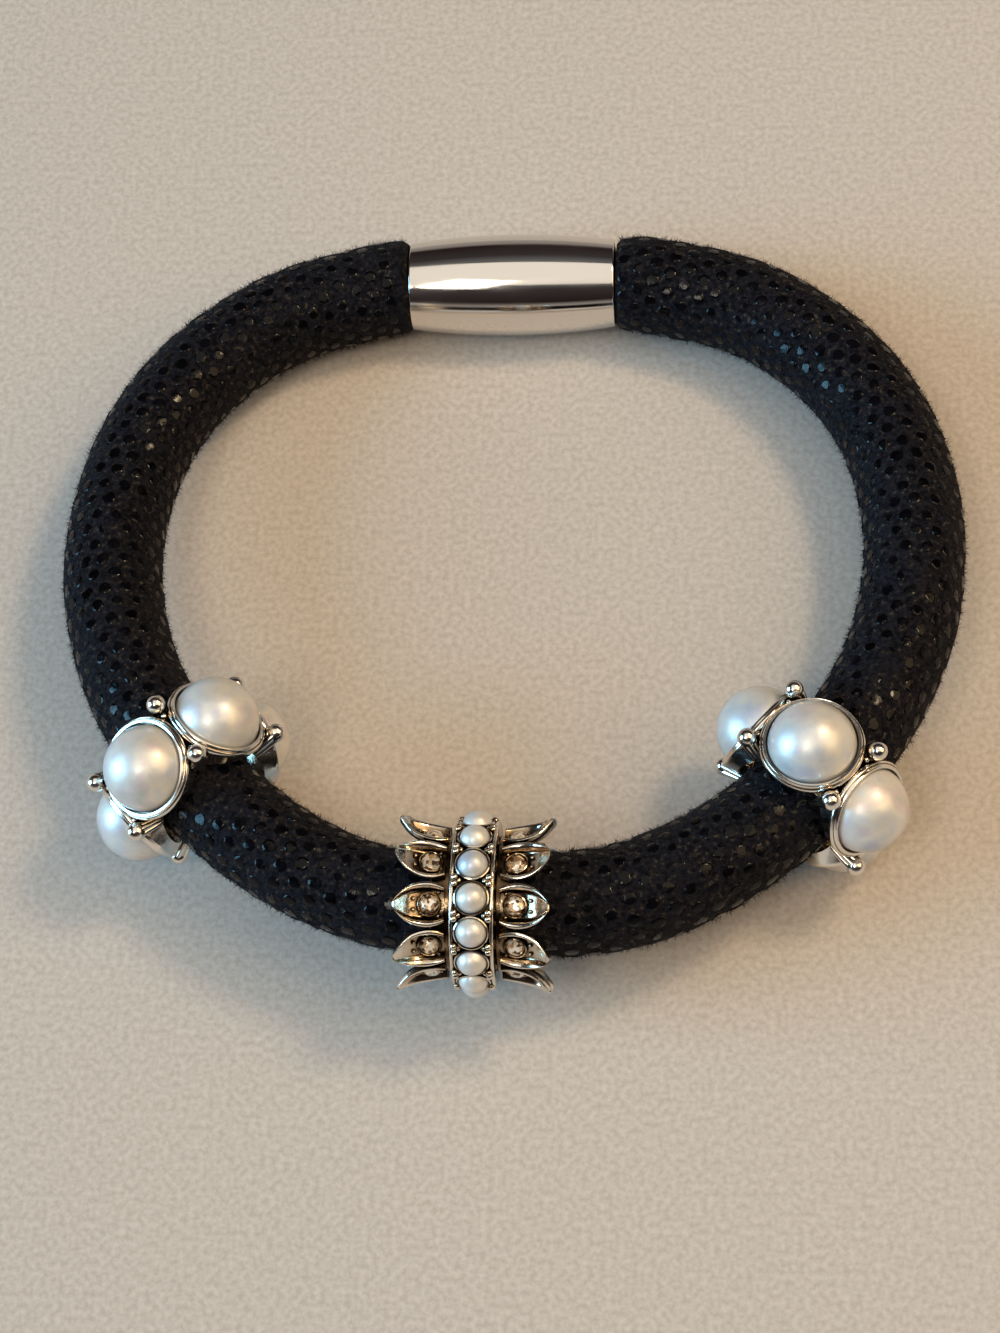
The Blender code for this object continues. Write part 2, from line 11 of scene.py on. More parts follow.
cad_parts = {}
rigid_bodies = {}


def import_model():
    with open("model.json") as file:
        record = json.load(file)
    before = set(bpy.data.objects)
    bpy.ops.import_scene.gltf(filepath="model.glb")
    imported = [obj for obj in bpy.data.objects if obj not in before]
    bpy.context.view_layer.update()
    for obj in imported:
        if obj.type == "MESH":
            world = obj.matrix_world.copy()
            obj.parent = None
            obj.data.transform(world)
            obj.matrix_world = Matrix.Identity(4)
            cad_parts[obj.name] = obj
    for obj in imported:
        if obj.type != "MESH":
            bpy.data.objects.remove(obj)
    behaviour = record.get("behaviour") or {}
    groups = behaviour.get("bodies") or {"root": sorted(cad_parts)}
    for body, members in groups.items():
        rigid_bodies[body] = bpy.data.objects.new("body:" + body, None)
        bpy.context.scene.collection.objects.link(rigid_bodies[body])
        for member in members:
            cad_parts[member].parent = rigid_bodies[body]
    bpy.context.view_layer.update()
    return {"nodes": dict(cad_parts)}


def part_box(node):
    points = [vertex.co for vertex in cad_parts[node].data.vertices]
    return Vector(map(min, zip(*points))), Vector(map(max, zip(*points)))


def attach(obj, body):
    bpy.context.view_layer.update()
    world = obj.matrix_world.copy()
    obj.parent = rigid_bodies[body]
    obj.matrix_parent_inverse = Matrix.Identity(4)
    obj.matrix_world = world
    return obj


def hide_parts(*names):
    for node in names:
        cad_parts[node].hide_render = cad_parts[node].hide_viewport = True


for leftover in list(bpy.data.objects):
    bpy.data.objects.remove(leftover)
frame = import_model()

MM = 0.001
RANDOM = np.random.default_rng(7)

# Stands what is made about X up along Z
STAND_UP = Matrix.Rotation(-math.pi / 2, 4, "Y")

# Camera, placed from the clasp's middle, with its turn about Z, its pitch and its roll
CAMERA_FROM_CLASP = Vector((17.1, -117.4, 194.3)) * MM
CAMERA_TURN = math.radians(11.65)
CAMERA_ELEVATION = math.radians(66.2)
CAMERA_ROLL = math.radians(-11.0)
CAMERA_LENS = 100.8
CAMERA_NEAREST = 1.0 * MM
SENSOR_WIDTH = 36.0

# Floor and studio lights; each light has its place, aim, width, height, watts and colour
FLOOR_SIZE = 1.2
LAMPS = (
    ("warm_lamp", (0.245, 0.12, 0.42), (0, 0, 0), 0.09, 0.09, 0.75, (1.0, 0.76, 0.48)),
    ("warm_wall", (0.40, -0.02, 0.42), (0, 0, 0), 0.40, 0.46, 1.20, (1.0, 0.73, 0.42)),
    ("window", (-0.84, -0.12, 0.32), (0, 0, 0), 0.44, 0.56, 8.4, (0.30, 0.68, 1.0)),
    ("front_lamp", (-0.11, -0.20, 0.44), (0, 0, 0), 0.10, 0.16, 0.40, (1.0, 0.93, 0.80)),
    ("ceiling", (-0.03, -0.02, 0.50), (-0.03, -0.02, 0), 0.42, 0.50, 0.54, (1.0, 0.90, 0.76)),
)

# Colour of the surround by the sine of its height over the horizon
SURROUND = (
    (0.00, (0.34, 0.30, 0.26)),
    (0.18, (0.26, 0.23, 0.21)),
    (0.30, (0.020, 0.012, 0.011)),
    (0.75, (0.038, 0.032, 0.032)),
    (0.95, (0.16, 0.16, 0.16)),
)

# Silver's colour by how open its surface lies, on the side beads and on the crown bead; the dark low
# stops are painted shade in the hollows, and on the crown they are partly antique tarnish too
BRIGHT_SILVER_PAINTED_SHADE = (
    (0.20, (0.07, 0.05, 0.035)),
    (0.45, (0.42, 0.35, 0.27)),
    (0.75, (0.88, 0.84, 0.77)),
)
DARK_SILVER_TARNISH_AND_SHADE = (
    (0.36, (0.040, 0.023, 0.012)),
    (0.60, (0.22, 0.14, 0.07)),
    (0.80, (0.56, 0.45, 0.32)),
    (0.95, (0.88, 0.83, 0.75)),
)

# Cord's route, as in the solid model
LOOP_LENGTH = 185.0 * MM
LOOP_DEPTH_TO_WIDTH = 0.886
CLASP_LENGTH = 16.4 * MM
CLASP_OFFSET = -0.52 * MM
LOOP_OUTLINE = (
    # across, along
    (0.440, 0.964),
    (0.546, 0.928),
    (0.704, 0.826),
    (0.839, 0.678),
    (0.941, 0.481),
    (0.993, 0.259),
    (1.000, 0.030),
    (0.931, -0.296),
    (0.753, -0.619),
    (0.477, -0.883),
    (0.276, -0.976),
)
ROUTE_SAMPLES_PER_SPAN = 40
ROUTE_FITTING_ROUNDS = 20
DIRECTION_REACH = 0.4 * MM

# Leather
LEATHER_RADIUS = 3.75 * MM
LEATHER_GIRTH = (
    # share of the cord's length from the right mouth, share of the radius
    (0.00, 1.02),
    (0.25, 1.02),
    (0.36, 1.00),
    (0.43, 1.02),
    (0.50, 1.00),
    (0.57, 0.96),
    (0.64, 1.00),
    (1.00, 1.00),
)
RIGHT_PINCH = 0.91
LEFT_PINCH = 0.98
PINCH_LENGTH = 2.4 * MM
SPIGOT_RADIUS = 2.6 * MM
SPIGOT_LENGTH = 3.0 * MM
MOUTH_GAP = 0.12 * MM
MOUTH_ROUNDING = 0.7 * MM
MOUTH_DROP = 0.45
SUEDE_SIDES = 120
SUEDE_STEP = 0.34 * MM
SUEDE_LUMPS = (
    # lumps along, lumps around, height
    (60, 9, 0.030 * MM),
    (240, 36, 0.014 * MM),
)

# Printed dots, and how far each strays from its even place, size and tilt
DOTS_AROUND = 15
DOTS_MISSING = 0.02
DOT_ROW_PITCH = 1.34 * MM
DOT_RADIUS = 0.50 * MM
DOT_HEIGHT = 0.024 * MM
DOT_FROM_MOUTH = 0.3 * MM
FIRST_DOT_ROW = DOT_RADIUS + DOT_FROM_MOUTH
DOT_SHIFT = 0.04 * MM
DOT_TURN = 0.012
DOT_SIZES = (0.90, 1.08)
DOT_LEAN = 0.022 * MM
DOT_SIDES = 12
DOT_PROFILE = (
    # share of the radius, share of the height
    (1.0, -1.6),
    (0.93, 0.8),
    (0.5, 1.0),
    (0.0, 1.05),
)

# Fuzz; a hair's length is its full length times two random shares
FUZZ_HAIRS = 46000
FUZZ_LENGTH = 0.40 * MM
FUZZ_LEAST_SHARES = (0.3, 0.6)
FUZZ_MOST_SHARES = (1.0, 1.5)
FUZZ_LEAN = 0.75
FUZZ_WIDTH = 0.026 * MM
FUZZ_CLEARANCE = 0.03 * MM
FUZZ_FROM_MOUTH = 0.3 * MM
FUZZ_FREE_SHARE_OF_DOT = 0.8

# Clasp
CLASP_MOUTH_RADIUS = 3.46 * MM
CLASP_MIDDLE_RADIUS = 4.03 * MM
CLASP_SOCKET_RADIUS = 2.85 * MM
CLASP_EDGE = 0.16 * MM
CLASP_SOCKET_EDGE = 0.1 * MM
CLASP_SOCKET_DEPTH = SPIGOT_LENGTH + 0.3 * MM
CLASP_LIP_DEGREES = 80
CLASP_STEPS = 61
CLASP_SIDES = 128

# Pearls; dents are shares of the radius
PEARL_ROWS = 22
PEARL_SIDES = 44
PEARL_BACK_DROP = 0.02 * MM
PEARL_DENT_CELLS = (3, 5)
LARGE_PEARL_DENTS = 0.006
SMALL_PEARL_DENTS = 0.012

# Pearl beads
CUP_GAP = 0.07 * MM
CUP_WALL = 0.50 * MM
CUP_RIM_OVER_BACK = 0.50 * MM
CUP_TAPER = 0.38 * MM
CUP_SEAT_DROP = 0.05 * MM
CUP_MIDDLE_DROP = 0.06 * MM
CUP_SIDES = 56
CUP_FOOT_RINGS = (0.0, 0.35, 0.7, 1.0)
CUP_PROFILE = (
    # depth under the rim, share of the wall in from the outside
    (0.95 * MM, 0.44),
    (0.60 * MM, 0.10),
    (0.42 * MM, 0.00),
    (0.28 * MM, 0.04),
    (0.20 * MM, 0.20),
    (0.24 * MM, 0.36),
    (0.08 * MM, 0.42),
    (0.00 * MM, 0.56),
    (0.01 * MM, 0.88),
    (0.08 * MM, 1.00),
)
BEAD_BORE = 4.30 * MM
BEAD_CORE = 5.30 * MM
BEAD_HALF = 2.60 * MM
BEAD_EDGE = 0.10 * MM
BEAD_ROUNDING = 0.28 * MM
BEAD_SIDES = 96
BALL_RADIUS = 0.70 * MM
BALL_FROM_AXIS = 6.58 * MM
BALL_HALF_SPACING = 2.575 * MM
BALL_SIDES = 28
POST_FOOT = BEAD_BORE + 0.05 * MM
POST_TOP = BALL_FROM_AXIS - 0.10 * MM
POST_FOOT_RADIUS = 0.36 * MM
POST_TOP_RADIUS = 0.64 * MM
POST_SPREAD = 0.8
POST_RIDGES = 6
POST_CREST = 1.05
POST_GROOVE = 0.26
POST_STEPS = 11
POST_SIDES = 40
GRAIN_RADIUS = 0.24 * MM
GRAIN_FROM_AXIS = 6.05 * MM
GRAIN_SHARE = 0.66
GRAIN_SIDES = 12

# Crown bead
CROWN_BORE = 4.18 * MM
CROWN_HUB = 4.85 * MM
CROWN_HALF = 3.00 * MM
CROWN_HUB_EDGE = 0.12 * MM
CROWN_BORE_EDGE = 0.08 * MM
CROWN_SIDES = 144
CHANNEL_FLOOR = 5.42 * MM
CHANNEL_HALF = 1.24 * MM
BAND_HALF = 1.56 * MM
RAIL_TOP = 5.95 * MM
RAIL_STEPS = 7
PRONG_RADIUS = 0.27 * MM
PRONG_ASIDE = math.radians(2.1)
PRONG_DROP = 0.02 * MM
PRONG_SHARE = 0.86
PRONG_SIDES = 16
THIRD_PRONG_DROP = 0.18 * MM
THIRD_PRONG_SHARE = 0.66
THIRD_PRONG_SIDES = 12
COLLAR_GAP = 0.02 * MM
COLLAR_WALL = 0.13 * MM
COLLAR_HEIGHT = 0.34 * MM
COLLAR_DEPTH = 0.25 * MM
COLLAR_EDGE = 0.05 * MM
COLLAR_SIDES = 28

# Petals; shares are of half the petal's width, or of its thickness
PETALS = 10
PETAL_TURN = math.radians(20)
PETAL_START = 1.95 * MM
PETAL_LENGTH = 3.41 * MM
PETAL_HALF_WIDTH = 1.58 * MM
PETAL_RIM = 5.27 * MM
PETAL_FLARE = 1.15 * MM
PETAL_CURL = 1.4
PETAL_DISH = 0.50 * MM
PETAL_THICKNESS = 0.80 * MM
PETAL_RIM_SHARE = 0.24
PETAL_SLOPE_SHARE = 0.16
PETAL_UNDERSIDE_SHARE = 0.97
PETAL_EDGE_SHARE = 0.25
PETAL_ROLL = 0.12 * MM
PETAL_NOSE = 0.09 * MM
PETAL_NOSE_SHARE = 0.7
PETAL_TIP = 0.13 * MM
PETAL_ROWS = 30
PETAL_STEPS = 37
PETAL_SECTIONS = (
    # along the length, half width, flare, dish, thickness
    (0.00, 0.80, 0.00, 1.0, 1.00),
    (0.15, 0.93, 0.09, 1.0, 1.00),
    (0.32, 1.00, 0.21, 1.0, 1.00),
    (0.50, 0.97, 0.35, 1.0, 0.96),
    (0.68, 0.85, 0.52, 0.84, 0.90),
    (0.81, 0.67, 0.69, 0.58, 0.86),
    (0.91, 0.46, 0.85, 0.28, 0.80),
    (1.00, 0.22, 1.00, 0.0, 0.60),
)
PETAL_GRAIN_RADIUS = 0.15 * MM
PETAL_GRAIN_SIDES = 10
PETAL_GRAINS = (
    # from the crystal towards the tip, aside, height over the crystal's girdle
    (-0.66 * MM, 0.82 * MM, 0.00 * MM),
    (-0.66 * MM, -0.82 * MM, 0.00 * MM),
    (1.12 * MM, 0.38 * MM, 0.08 * MM),
    (1.12 * MM, -0.38 * MM, 0.08 * MM),
)

# Crystals
CRYSTAL_RADIUS = 0.72 * MM
CRYSTAL_ALONG = 0.31
CRYSTAL_RISE_SHARE = 0.85
CRYSTAL_FACETS = 8
CRYSTAL_LEVELS = (
    # height over the girdle, share of the radius, turn in facets
    (-0.10 * MM, 0.92, 0.0),
    (0.10 * MM, 1.00, 0.0),
    (0.26 * MM, 0.84, 0.5),
    (0.40 * MM, 0.56, 0.0),
)
CRYSTAL_COLLAR_SIDES = 24
CRYSTAL_COLLAR = (
    # height over the girdle, share of the crystal's radius
    (-0.10 * MM, 1.04),
    (0.14 * MM, 1.04),
    (0.18 * MM, 1.10),
    (0.14 * MM, 1.19),
    (-0.10 * MM, 1.22),
)
# Size of the painted highlights and reflections on the crystals
PAINTED_GLINT_SIZE = 0.26 * MM

# Meshes: steps of a small rounding; points nearer than the second are one, and edges shorter
# than the third are dropped
ROUNDING_STEPS = 6
WELD_DISTANCE = 1e-7
SLIVER_LENGTH = 1e-8


# Mesh helpers


class Shape:
    """Grids of points gathered into one mesh."""

    def __init__(self):
        self.points = []
        self.faces = []
        self.count = 0

    def add(self, points, faces):
        points = np.asarray(points).reshape(-1, 3)
        self.points.append(points)
        self.faces.append(np.asarray(faces) + self.count)
        self.count += len(points)

    def add_grid(self, grid, matrix=None, wrap_rows=False):
        """Rows of rings, each ring closed; rows may close too."""
        grid = np.asarray(grid)
        rows, sides = grid.shape[:2]
        points = grid.reshape(-1, 3)
        if matrix is not None:
            points = moved(points, matrix)
        last = rows if wrap_rows else rows - 1
        i = np.arange(last)[:, None]
        j = np.arange(sides)[None, :]
        here, after = i * sides, (i + 1) % rows * sides
        across = (j + 1) % sides
        corners = (here + j, here + across, after + across, after + j)
        self.add(points, np.stack(np.broadcast_arrays(*corners), -1).reshape(-1, 4))

    def build(self, name, material, replaced=(), sharp=35):
        """Makes the object, which rides on the root body and stands for the replaced nodes."""
        mesh = bpy.data.meshes.new(name)
        faces = [tuple(face) for block in self.faces for face in block.tolist()]
        mesh.from_pydata(np.vstack(self.points).tolist(), [], faces)
        work = bmesh.new()
        work.from_mesh(mesh)
        bmesh.ops.remove_doubles(work, verts=work.verts, dist=WELD_DISTANCE)
        bmesh.ops.dissolve_degenerate(work, edges=work.edges, dist=SLIVER_LENGTH)
        bmesh.ops.recalc_face_normals(work, faces=work.faces)
        work.to_mesh(mesh)
        work.free()
        mesh.shade_smooth()
        mesh.set_sharp_from_angle(angle=math.radians(sharp))
        mesh.materials.append(material)
        piece = bpy.data.objects.new(name, mesh)
        bpy.context.scene.collection.objects.link(piece)
        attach(piece, "root")
        if replaced:
            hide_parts(*replaced)
        return piece


def moved(points, matrix):
    """The points, one in each row, put through a 4 by 4 matrix."""
    matrix = np.array(matrix)
    return points @ matrix[:3, :3].T + matrix[:3, 3]


def rings(profile, sides, swell=None):
    """A grid of circles about X from (distance along X, radius) pairs; swell is a share of the radius."""
    profile = np.asarray(profile, float)
    angle = 2 * math.pi * np.arange(sides) / sides
    x, radius = profile[:, :1], profile[:, 1:]
    if swell is not None:
        radius = radius * swell(angle)[None, :]
    return np.stack(np.broadcast_arrays(x, radius * np.sin(angle), radius * np.cos(angle)), -1)


def ball(centre, radius, sides):
    """A grid for a small sphere about X, centred at this point."""
    turns = np.linspace(0, math.pi, sides // 2 + 1)
    grid = rings(np.column_stack([-radius * np.cos(turns), radius * np.sin(turns)]), sides)
    return grid + np.asarray(centre)


def arc(centre, radius, start, end, steps):
    """(x, radius) points on an arc of a profile, from one angle to another in degrees."""
    turns = np.radians(np.linspace(start, end, steps))
    return [(centre[0] + radius * math.cos(t), centre[1] + radius * math.sin(t)) for t in turns]


def smooth_table(table, steps):
    """The table's rows made finer, on cubic curves through them."""
    table = np.array(table)
    along = table[:, 0]
    slopes = np.gradient(table, along, axis=0)
    finer = np.linspace(along[0], along[-1], steps)
    index = np.clip(np.searchsorted(along, finer, side="right") - 1, 0, len(along) - 2)
    span = (along[index + 1] - along[index])[:, None]
    t = (finer - along[index])[:, None] / span
    return (
        (2 * t**3 - 3 * t**2 + 1) * table[index]
        + (t**3 - 2 * t**2 + t) * span * slopes[index]
        + (3 * t**2 - 2 * t**3) * table[index + 1]
        + (t**3 - t**2) * span * slopes[index + 1]
    )


def smooth_noise(count_rows, count_columns, cells_rows, cells_columns, strength):
    """Soft random bumps on a grid whose last column meets its first."""
    coarse = RANDOM.normal(0, 1, (cells_rows + 3, cells_columns))
    rows = np.linspace(0, cells_rows, count_rows)
    columns = np.arange(count_columns) * cells_columns / count_columns
    r0 = rows.astype(int)
    c0 = columns.astype(int)
    fr = rows - r0
    fc = columns - c0
    fr = (fr * fr * (3 - 2 * fr))[:, None]
    fc = (fc * fc * (3 - 2 * fc))[None, :]
    c1 = (c0 + 1) % cells_columns
    top = coarse[r0][:, c0] * (1 - fc) + coarse[r0][:, c1] * fc
    bottom = coarse[r0 + 1][:, c0] * (1 - fc) + coarse[r0 + 1][:, c1] * fc
    return strength * (top * (1 - fr) + bottom * fr)


# Materials


class Finish:
    """A material with one Principled shader, and short calls that add its nodes."""

    def __init__(self, name, colour, roughness, metallic=0.0, **sockets):
        self.material = bpy.data.materials.new(name)
        self.material.use_nodes = True
        self.tree = self.material.node_tree
        self.shader = self.tree.nodes["Principled BSDF"]
        self.shader.inputs["Base Color"].default_value = (*colour, 1)
        self.shader.inputs["Roughness"].default_value = roughness
        self.shader.inputs["Metallic"].default_value = metallic
        for socket, value in sockets.items():
            self.shader.inputs[socket.replace("_", " ")].default_value = value

    def node(self, kind, values=None, **links):
        node = self.tree.nodes.new(kind)
        for socket, value in (values or {}).items():
            node.inputs[socket].default_value = value
        for socket, source in links.items():
            self.tree.links.new(source, node.inputs[socket.replace("_", " ")])
        return node

    def noise(self, feature, detail=2.0, stretch=(1, 1, 1)):
        """Noise whose lumps are about this many metres across."""
        place = self.node("ShaderNodeTexCoord").outputs["Object"]
        mapping = self.node("ShaderNodeMapping", {"Scale": stretch}, Vector=place)
        values = {"Scale": 1 / feature, "Detail": detail}
        texture = self.node("ShaderNodeTexNoise", values, Vector=mapping.outputs["Vector"])
        return texture.outputs["Fac"]

    def ramp(self, source, stops):
        node = self.node("ShaderNodeValToRGB", None, Fac=source)
        elements = node.color_ramp.elements
        while len(elements) < len(stops):
            elements.new(0.5)
        for element, (position, colour) in zip(elements, stops):
            element.position = position
            element.color = (*colour, 1)
        return node.outputs["Color"]

    def colour(self, source):
        self.tree.links.new(source, self.shader.inputs["Base Color"])

    def roughness(self, source):
        self.tree.links.new(source, self.shader.inputs["Roughness"])

    def bump(self, source, strength, distance):
        values = {"Strength": strength, "Distance": distance}
        shader_normal = self.shader.inputs["Normal"]
        node = self.node("ShaderNodeBump", values, Height=source)
        if shader_normal.is_linked:
            self.tree.links.new(shader_normal.links[0].from_socket, node.inputs["Normal"])
        self.tree.links.new(node.outputs["Normal"], shader_normal)


def suede_finish():
    """Near-black suede, blotched with navy and brown, and rough."""
    finish = Finish("suede", (0.006, 0.006, 0.008), 0.88, Specular_IOR_Level=0.12, Sheen_Weight=0.015)
    blotches = [
        (0.34, (0.0005, 0.0005, 0.0008)),
        (0.44, (0.004, 0.004, 0.007)),
        (0.52, (0.009, 0.009, 0.015)),
        (0.60, (0.012, 0.009, 0.008)),
        (0.70, (0.055, 0.047, 0.042)),
    ]
    finish.colour(finish.ramp(finish.noise(0.36 * MM, 8), blotches))
    finish.bump(finish.noise(0.14 * MM, 5), 0.9, 0.12 * MM)
    finish.bump(finish.noise(0.6 * MM, 2), 0.5, 0.12 * MM)
    return finish.material


def dot_finish():
    """Glossy black print, worn dull in places."""
    finish = Finish("glossy_dot", (0.002, 0.002, 0.003), 0.16, Specular_IOR_Level=0.19)
    shades = [(0.35, (0.001, 0.001, 0.0015)), (0.7, (0.003, 0.003, 0.005))]
    finish.colour(finish.ramp(finish.noise(4 * MM, 2), shades))
    worn = finish.ramp(finish.noise(0.5 * MM, 3), [(0.45, (0.10,) * 3), (0.75, (0.36,) * 3)])
    finish.roughness(worn)
    finish.bump(finish.noise(0.30 * MM, 2), 0.30, 0.04 * MM)
    return finish.material


def fuzz_finish():
    """Suede's colours, with more brown hairs."""
    finish = Finish("fuzz", (0.006, 0.006, 0.008), 0.9, Specular_IOR_Level=0.1)
    stops = [(0.4, (0.002, 0.002, 0.003)), (0.6, (0.007, 0.006, 0.010)), (0.8, (0.035, 0.030, 0.026))]
    finish.colour(finish.ramp(finish.noise(0.9 * MM, 2), stops))
    return finish.material


def steel_finish():
    """Polished steel with faint smears and lines along the clasp."""
    finish = Finish("polished_steel", (0.80, 0.76, 0.72), 0.09, 1.0)
    smears = finish.noise(1.5 * MM, 4, (0.25, 1, 1))
    finish.roughness(finish.ramp(smears, [(0.35, (0.06,) * 3), (0.70, (0.16,) * 3)]))
    finish.bump(finish.noise(0.5 * MM, 5, (0.1, 1, 1)), 0.06, 0.02 * MM)
    return finish.material


def silver_finish(name, reach, tarnish_and_shade, cast):
    """Polished where it stands proud, darkened in its hollows by painted shade (on the crown partly
    tarnish too), and softly uneven from its casting.
    """
    finish = Finish(name, (0.70, 0.65, 0.58), 0.2, 1.0)
    shade = finish.node("ShaderNodeAmbientOcclusion", {"Distance": reach})
    shade.samples = 8
    # Painted shade: the occlusion ramp darkens the base colour in hollows and gaps, where shade falls
    finish.colour(finish.ramp(shade.outputs["AO"], tarnish_and_shade))
    finish.roughness(finish.ramp(finish.noise(0.8 * MM, 4), [(0.35, (0.10,) * 3), (0.75, (0.26,) * 3)]))
    finish.bump(finish.noise(0.5 * MM, 4), cast, 0.05 * MM)
    return finish.material


def pearl_finish():
    """Nacre: part of the light comes back in a wide soft gloss, over drifting pale tints."""
    finish = Finish(
        "pearl",
        (0.72, 0.69, 0.68),
        0.42,
        0.42,
        Coat_Weight=0.35,
        Coat_Roughness=0.12,
        Thin_Film_Thickness=380.0,
        Thin_Film_IOR=1.5,
    )
    tints = [
        (0.30, (0.58, 0.62, 0.73)),
        (0.42, (0.73, 0.74, 0.74)),
        (0.52, (0.82, 0.79, 0.73)),
        (0.62, (0.76, 0.68, 0.68)),
        (0.74, (0.60, 0.62, 0.56)),
    ]
    finish.colour(finish.ramp(finish.noise(2.6 * MM, 3), tints))
    finish.bump(finish.noise(0.8 * MM, 3), 0.22, 0.08 * MM)
    return finish.material


def crystal_finish():
    """Champagne glass over foil, with bright and dark glints painted into its colour as painted
    highlights and reflections.
    """
    finish = Finish("crystal", (0.95, 0.82, 0.68), 0.08, 0.45, Coat_Weight=1.0, Coat_Roughness=0.02)
    place = finish.node("ShaderNodeTexCoord").outputs["Object"]
    cells = finish.node("ShaderNodeTexVoronoi", {"Scale": 1 / PAINTED_GLINT_SIZE}, Vector=place)
    parts = finish.node("ShaderNodeSeparateColor", None, Color=cells.outputs["Color"])
    # Painted highlights and reflections: random cells of bright and dark colour stand in for the stone's
    # sparkle
    painted_glints = [
        (0.18, (0.12, 0.055, 0.025)),
        (0.36, (0.62, 0.38, 0.20)),
        (0.52, (1.00, 0.84, 0.62)),
        (0.80, (1.00, 0.96, 0.88)),
    ]
    finish.colour(finish.ramp(parts.outputs["Red"], painted_glints))
    return finish.material


def floor_finish():
    """Pale matt paper with a fine grain."""
    finish = Finish("floor", (0.60, 0.53, 0.46), 0.95, Specular_IOR_Level=0.2)
    stops = [
        (0.32, (0.50, 0.44, 0.39)),
        (0.50, (0.57, 0.51, 0.46)),
        (0.70, (0.64, 0.575, 0.52)),
    ]
    finish.colour(finish.ramp(finish.noise(0.45 * MM, 3), stops))
    finish.bump(finish.noise(0.40 * MM, 4), 0.26, 0.16 * MM)
    return finish.material


# Route of the cord


def node_points(node):
    """The node's own vertices, each place counted once."""
    mesh = frame["nodes"][node].data
    points = np.empty(len(mesh.vertices) * 3)
    mesh.vertices.foreach_get("co", points)
    return np.unique(np.round(points.reshape(-1, 3), 7), axis=0)


def smooth_curve(points):
    """Samples the cubic curve through the points that leaves the first and reaches the last along +X."""
    chords = np.linalg.norm(np.diff(points, axis=0), axis=1)
    count = len(points)
    matrix = np.eye(count)
    wanted = np.zeros((count, 2))
    wanted[0] = (1.0, 0.0)
    wanted[-1] = (1.0, 0.0)
    for i in range(1, count - 1):
        before, after = chords[i - 1], chords[i]
        matrix[i, i - 1 : i + 2] = (after, 2 * (before + after), before)
        wanted[i] = 3 * (
            after * (points[i] - points[i - 1]) / before
            + before * (points[i + 1] - points[i]) / after
        )
    slopes = np.linalg.solve(matrix, wanted)
    steps = np.linspace(0, 1, ROUTE_SAMPLES_PER_SPAN, endpoint=False)[:, None]
    spans = []
    for i, chord in enumerate(chords):
        spans.append(
            (2 * steps**3 - 3 * steps**2 + 1) * points[i]
            + (steps**3 - 2 * steps**2 + steps) * chord * slopes[i]
            + (3 * steps**2 - 2 * steps**3) * points[i + 1]
            + (steps**3 - steps**2) * chord * slopes[i + 1]
        )
    return np.vstack([*spans, points[-1:]])


def plan_points(half_width):
    """The cord's points seen from above, round the front from the right mouth to the left."""
    half_depth = half_width * LOOP_DEPTH_TO_WIDTH
    side = [(across * half_width, along * half_depth) for across, along in LOOP_OUTLINE]
    mirrored = [(-x, y) for x, y in reversed(side)]
    right_mouth = (CLASP_OFFSET + CLASP_LENGTH / 2, half_depth)
    left_mouth = (CLASP_OFFSET - CLASP_LENGTH / 2, half_depth)
    return np.array([right_mouth, *side, (0.0, -half_depth), *mirrored, left_mouth])


class BeadPlace:
    """Where a bead sits, read from the pearls set round it."""

    def __init__(self, pearls):
        centres = np.array([node_points(pearl).mean(axis=0) for pearl in pearls])
        middle = centres.mean(axis=0)
        axis = np.linalg.svd(centres - middle)[2][2]
        along_cord = np.cross((0, 0, -1), middle - np.array((0, 0, middle[2])))
        if axis @ along_cord < 0:
            axis = -axis
        self.x_axis = Vector(axis)
        self.y_axis = Vector((0, 0, 1)).cross(self.x_axis).normalized()
        self.z_axis = self.x_axis.cross(self.y_axis)
        self.matrix = Matrix((self.x_axis, self.y_axis, self.z_axis)).transposed().to_4x4()
        self.matrix.translation = middle
        first = Vector(centres[0] - middle)
        self.turn = math.atan2(first.dot(self.y_axis), first.dot(self.z_axis))
        outwards = (node_points(pearls[0]) - middle) @ np.array(first.normalized())
        self.pearl_back = outwards.min()
        self.pearl_radius = outwards.max() - outwards.min()
        self.middle = middle
        self.pearls = pearls

    def at(self, angle, lift=0.0, x=0.0, mirrored=False):
        """Place on the bead at this angle, with Z outwards and X along the cord."""
        half_turn = Matrix.Rotation(math.pi, 4, "Z") if mirrored else Matrix.Identity(4)
        outward = Matrix.Translation((x, 0, 0)) @ Matrix.Rotation(-angle, 4, "X")
        return self.matrix @ outward @ half_turn @ Matrix.Translation((0, 0, lift))


